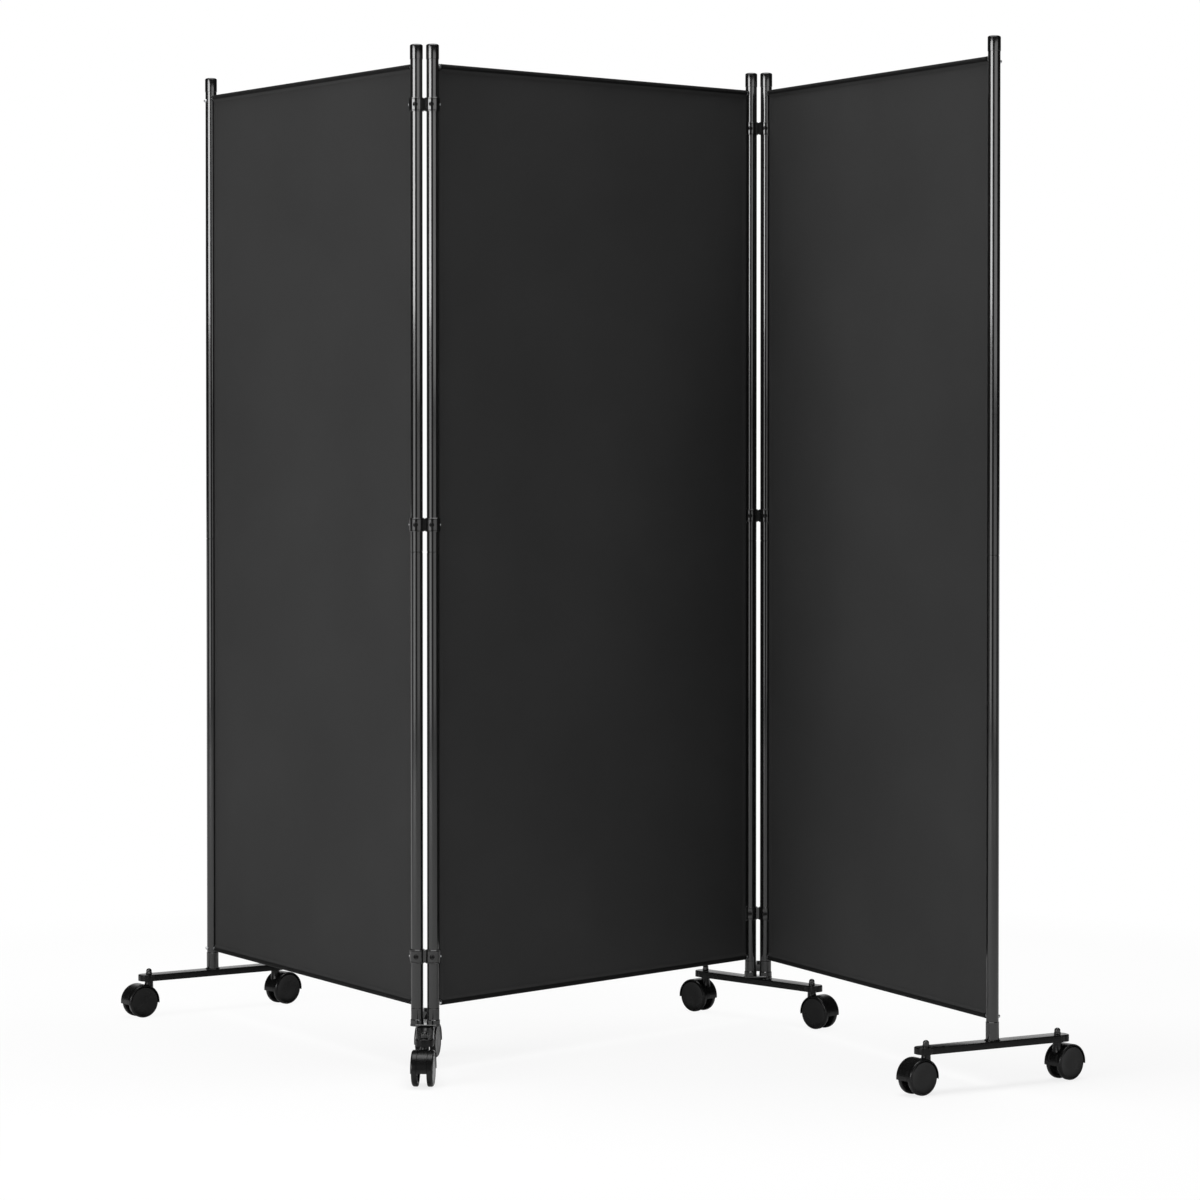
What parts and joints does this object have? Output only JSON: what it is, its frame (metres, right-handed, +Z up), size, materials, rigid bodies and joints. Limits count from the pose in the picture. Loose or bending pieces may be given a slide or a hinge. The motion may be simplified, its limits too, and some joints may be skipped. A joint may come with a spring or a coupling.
{
  "type": "ward privacy screen on wheels",
  "caption": "Folding zigzag privacy screen: taut cloth panels between round uprights, joined by clips, on low foot bars with twin-wheel casters",
  "frame": {"origin": "on the floor under the middle of the box round the screen as it stands in the picture", "axes": "+Z up, +Y away from the picture camera, +X to its right"},
  "size_m": [1.7616, 1.1192, 1.8],
  "materials": {
    "black_tube": "gloss black coat",
    "black_steel": "satin black coat",
    "black_plastic": "moulded black",
    "caster_plastic": "satin moulded black",
    "charcoal_cloth": "plain weave",
    "zinc_steel": "bright zinc"
  },
  "bodies": {
    "centre_panel": {"centre_panel_left_upright": "black_tube", "centre_panel_left_cap": "black_plastic", "centre_panel_right_upright": "black_tube", "centre_panel_right_cap": "black_plastic", "centre_panel_top_rail": "zinc_steel", "centre_panel_bottom_rail": "zinc_steel", "centre_panel_cloth": "charcoal_cloth"},
    "left_fold_link": {"left_fold_top_clip": "black_plastic", "left_fold_middle_clip": "black_plastic", "left_fold_bottom_clip": "black_plastic", "left_fold_twin_socket": "black_steel", "left_fold_pivot_nut": "zinc_steel"},
    "left_fold_foot": {"left_fold_foot_bar": "black_steel", "left_fold_front_caster_stem_bolt": "black_plastic", "left_fold_rear_caster_stem_bolt": "black_plastic"},
    "left_fold_front_caster": {"left_fold_front_caster_housing": "caster_plastic"},
    "left_fold_front_caster_wheels": {"left_fold_front_caster_wheels": "caster_plastic"},
    "left_fold_rear_caster": {"left_fold_rear_caster_housing": "caster_plastic"},
    "left_fold_rear_caster_wheels": {"left_fold_rear_caster_wheels": "caster_plastic"},
    "left_panel": {"left_panel_inner_upright": "black_tube", "left_panel_inner_cap": "black_plastic", "left_panel_outer_upright": "black_tube", "left_panel_outer_cap": "black_plastic", "left_panel_top_rail": "zinc_steel", "left_panel_bottom_rail": "zinc_steel", "left_panel_cloth": "charcoal_cloth", "left_end_foot_bar": "black_steel", "left_end_front_caster_stem_bolt": "black_plastic", "left_end_rear_caster_stem_bolt": "black_plastic"},
    "left_end_front_caster": {"left_end_front_caster_housing": "caster_plastic"},
    "left_end_front_caster_wheels": {"left_end_front_caster_wheels": "caster_plastic"},
    "left_end_rear_caster": {"left_end_rear_caster_housing": "caster_plastic"},
    "left_end_rear_caster_wheels": {"left_end_rear_caster_wheels": "caster_plastic"},
    "right_fold_link": {"right_fold_top_clip": "black_plastic", "right_fold_middle_clip": "black_plastic", "right_fold_bottom_clip": "black_plastic", "right_fold_twin_socket": "black_steel", "right_fold_pivot_nut": "zinc_steel"},
    "right_fold_foot": {"right_fold_foot_bar": "black_steel", "right_fold_front_caster_stem_bolt": "black_plastic", "right_fold_rear_caster_stem_bolt": "black_plastic"},
    "right_fold_front_caster": {"right_fold_front_caster_housing": "caster_plastic"},
    "right_fold_front_caster_wheels": {"right_fold_front_caster_wheels": "caster_plastic"},
    "right_fold_rear_caster": {"right_fold_rear_caster_housing": "caster_plastic"},
    "right_fold_rear_caster_wheels": {"right_fold_rear_caster_wheels": "caster_plastic"},
    "right_panel": {"right_panel_inner_upright": "black_tube", "right_panel_inner_cap": "black_plastic", "right_panel_outer_upright": "black_tube", "right_panel_outer_cap": "black_plastic", "right_panel_top_rail": "zinc_steel", "right_panel_bottom_rail": "zinc_steel", "right_panel_cloth": "charcoal_cloth", "right_end_foot_bar": "black_steel", "right_end_front_caster_stem_bolt": "black_plastic", "right_end_rear_caster_stem_bolt": "black_plastic"},
    "right_end_front_caster": {"right_end_front_caster_housing": "caster_plastic"},
    "right_end_front_caster_wheels": {"right_end_front_caster_wheels": "caster_plastic"},
    "right_end_rear_caster": {"right_end_rear_caster_housing": "caster_plastic"},
    "right_end_rear_caster_wheels": {"right_end_rear_caster_wheels": "caster_plastic"}
  },
  "joints": [
    {"name": "left_fold_centre_hinge", "type": "hinge", "parent": "centre_panel", "child": "left_fold_link", "pos_m": [-0.2557, -0.28751, 0], "axis": [0, 0, 1], "range_deg": [-22.3, 127.7]},
    {"name": "left_panel_hinge", "type": "hinge", "parent": "left_fold_link", "child": "left_panel", "pos_m": [-0.28411, -0.28427, 0], "axis": [0, 0, 1], "range_deg": [-22.3, 127.7]},
    {"name": "right_fold_centre_hinge", "type": "hinge", "parent": "centre_panel", "child": "right_fold_link", "pos_m": [0.32363, 0.31661, 0], "axis": [0, 0, 1], "range_deg": [-19.55, 130.45]},
    {"name": "right_panel_hinge", "type": "hinge", "parent": "right_fold_link", "child": "right_panel", "pos_m": [0.35186, 0.31201, 0], "axis": [0, 0, 1], "range_deg": [-19.55, 130.45]},
    {"name": "left_fold_foot_pivot", "type": "hinge", "parent": "left_fold_link", "child": "left_fold_foot", "pos_m": [-0.2699, -0.28589, 0], "axis": [0, 0, 1], "continuous": true},
    {"name": "right_fold_foot_pivot", "type": "hinge", "parent": "right_fold_link", "child": "right_fold_foot", "pos_m": [0.33774, 0.31431, 0], "axis": [0, 0, 1], "continuous": true},
    {"name": "left_end_front_caster_swivel", "type": "hinge", "parent": "left_panel", "child": "left_end_front_caster", "pos_m": [-0.82748, 0.35899, 0], "axis": [0, 0, 1], "continuous": true},
    {"name": "left_end_front_caster_roll", "type": "hinge", "parent": "left_end_front_caster", "child": "left_end_front_caster_wheels", "pos_m": [-0.84297, 0.34798, 0.03], "axis": [0.5793, -0.8151, 0], "continuous": true},
    {"name": "left_end_rear_caster_swivel", "type": "hinge", "parent": "left_panel", "child": "left_end_rear_caster", "pos_m": [-0.5979, 0.51037, 0], "axis": [0, 0, 1], "continuous": true},
    {"name": "left_end_rear_caster_roll", "type": "hinge", "parent": "left_end_rear_caster", "child": "left_end_rear_caster_wheels", "pos_m": [-0.58387, 0.52318, 0.03], "axis": [-0.6743, 0.7385, 0], "continuous": true},
    {"name": "left_fold_front_caster_swivel", "type": "hinge", "parent": "left_fold_foot", "child": "left_fold_front_caster", "pos_m": [-0.2651, -0.4233, 0], "axis": [0, 0, 1], "continuous": true},
    {"name": "left_fold_front_caster_roll", "type": "hinge", "parent": "left_fold_front_caster", "child": "left_fold_front_caster_wheels", "pos_m": [-0.26643, -0.44226, 0.03], "axis": [0.9976, -0.0698, 0], "continuous": true},
    {"name": "left_fold_rear_caster_swivel", "type": "hinge", "parent": "left_fold_foot", "child": "left_fold_rear_caster", "pos_m": [-0.2747, -0.14847, 0], "axis": [0, 0, 1], "continuous": true},
    {"name": "left_fold_rear_caster_roll", "type": "hinge", "parent": "left_fold_rear_caster", "child": "left_fold_rear_caster_wheels", "pos_m": [-0.27173, -0.12971, 0.03], "axis": [-0.9877, 0.1564, 0], "continuous": true},
    {"name": "right_fold_front_caster_swivel", "type": "hinge", "parent": "right_fold_foot", "child": "right_fold_front_caster", "pos_m": [0.43497, 0.21708, 0], "axis": [0, 0, 1], "continuous": true},
    {"name": "right_fold_front_caster_roll", "type": "hinge", "parent": "right_fold_front_caster", "child": "right_fold_front_caster_wheels", "pos_m": [0.44887, 0.20412, 0.03], "axis": [0.682, 0.7314, 0], "continuous": true},
    {"name": "right_fold_rear_caster_swivel", "type": "hinge", "parent": "right_fold_foot", "child": "right_fold_rear_caster", "pos_m": [0.24052, 0.41154, 0], "axis": [0, 0, 1], "continuous": true},
    {"name": "right_fold_rear_caster_roll", "type": "hinge", "parent": "right_fold_rear_caster", "child": "right_fold_rear_caster_wheels", "pos_m": [0.22662, 0.42449, 0.03], "axis": [-0.682, -0.7314, 0], "continuous": true},
    {"name": "right_end_front_caster_swivel", "type": "hinge", "parent": "right_panel", "child": "right_end_front_caster", "pos_m": [0.59024, -0.51304, 0], "axis": [0, 0, 1], "continuous": true},
    {"name": "right_end_front_caster_roll", "type": "hinge", "parent": "right_end_front_caster", "child": "right_end_front_caster_wheels", "pos_m": [0.57502, -0.52442, 0.03], "axis": [0.599, -0.8007, 0], "continuous": true},
    {"name": "right_end_rear_caster_swivel", "type": "hinge", "parent": "right_panel", "child": "right_end_rear_caster", "pos_m": [0.82887, -0.37637, 0], "axis": [0, 0, 1], "continuous": true},
    {"name": "right_end_rear_caster_roll", "type": "hinge", "parent": "right_end_rear_caster", "child": "right_end_rear_caster_wheels", "pos_m": [0.84336, -0.36408, 0.03], "axis": [-0.6468, 0.7627, 0], "continuous": true}
  ]
}
